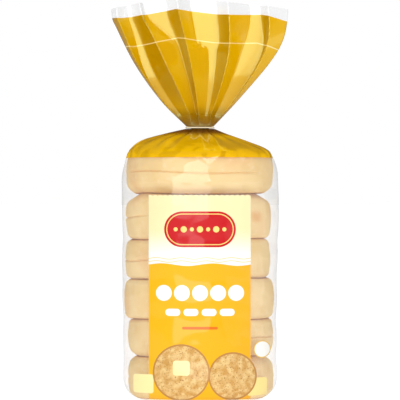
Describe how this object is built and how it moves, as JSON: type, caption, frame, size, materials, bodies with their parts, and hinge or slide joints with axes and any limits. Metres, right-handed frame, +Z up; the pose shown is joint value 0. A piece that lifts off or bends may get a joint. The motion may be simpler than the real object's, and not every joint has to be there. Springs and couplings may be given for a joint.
{
  "type": "pack of english muffins",
  "caption": "Clear film bag of english muffins stacked flat, printed on the front, gathered at the neck by a flat plastic clip and spread above it in a pleated fan.",
  "frame": {"origin": "middle of the flat spot that the pack stands on", "axes": "+Z up the stack of muffins, towards the clip and the fan; -Y out of the printed front; +X towards the pack's left side, which is the viewer's right"},
  "size_m": [0.1157, 0.1024, 0.261],
  "materials": {
    "film": "thin glossy film, clear round the muffins and printed golden yellow from the shoulders up",
    "clip": "stiff off-white plastic sheet, slightly glossy",
    "muffin": "pale matte bread, toasted light brown on its flat faces"
  },
  "bodies": {
    "root": {"bag": "film", "clip": "clip"}
  },
  "joints": []
}
